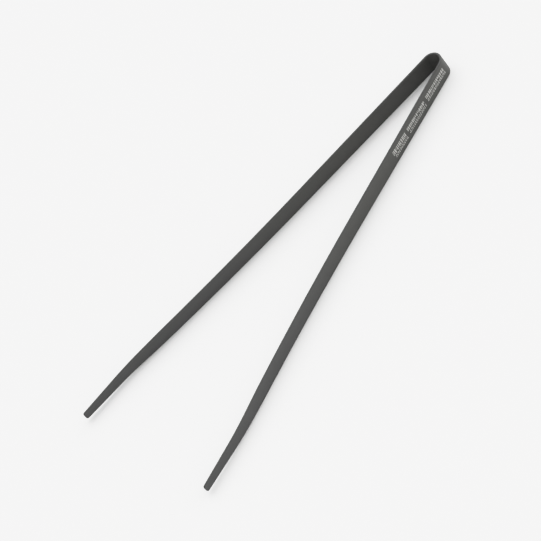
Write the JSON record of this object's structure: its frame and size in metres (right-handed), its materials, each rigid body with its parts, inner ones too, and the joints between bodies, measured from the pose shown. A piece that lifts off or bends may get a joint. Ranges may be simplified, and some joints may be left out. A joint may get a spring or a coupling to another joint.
{
  "type": "strip tongs",
  "caption": "Kitchen tongs made of one springy steel strip in a soft skin, bent to a narrow bow, with two long bowed arms and slim square tips.",
  "frame": {"origin": "midway between crown and tips and between the arms, on the surface that the tongs lie on", "axes": "+Z across the strip, +Y towards the bow, +X towards the right arm"},
  "size_m": [0.111, 0.2974, 0.0134],
  "materials": {
    "skin": "matte charcoal skin with a fine grain",
    "spring_steel": "cold rolled stainless spring steel"
  },
  "bodies": {
    "bow": {"bow_core": "spring_steel", "bow_skin": "skin"},
    "left_arm": {"left_arm_core": "spring_steel", "left_arm_skin": "skin"},
    "right_arm": {"right_arm_core": "spring_steel", "right_arm_skin": "skin"}
  },
  "joints": [
    {"name": "left_arm_squeeze", "type": "hinge", "parent": "bow", "child": "left_arm", "pos_m": [-0.00603, 0.14278, 0.0067], "axis": [0, 0, 1], "range_deg": [-2.5, 10.5], "stiffness_Nm_per_rad": 1.6},
    {"name": "right_arm_squeeze", "type": "hinge", "parent": "bow", "child": "right_arm", "pos_m": [0.00603, 0.14278, 0.0067], "axis": [0, 0, -1], "range_deg": [-2.5, 10.5], "stiffness_Nm_per_rad": 1.6}
  ],
  "couplings": [
    {"joint": "right_arm_squeeze", "follows": "left_arm_squeeze", "ratio": 1}
  ]
}
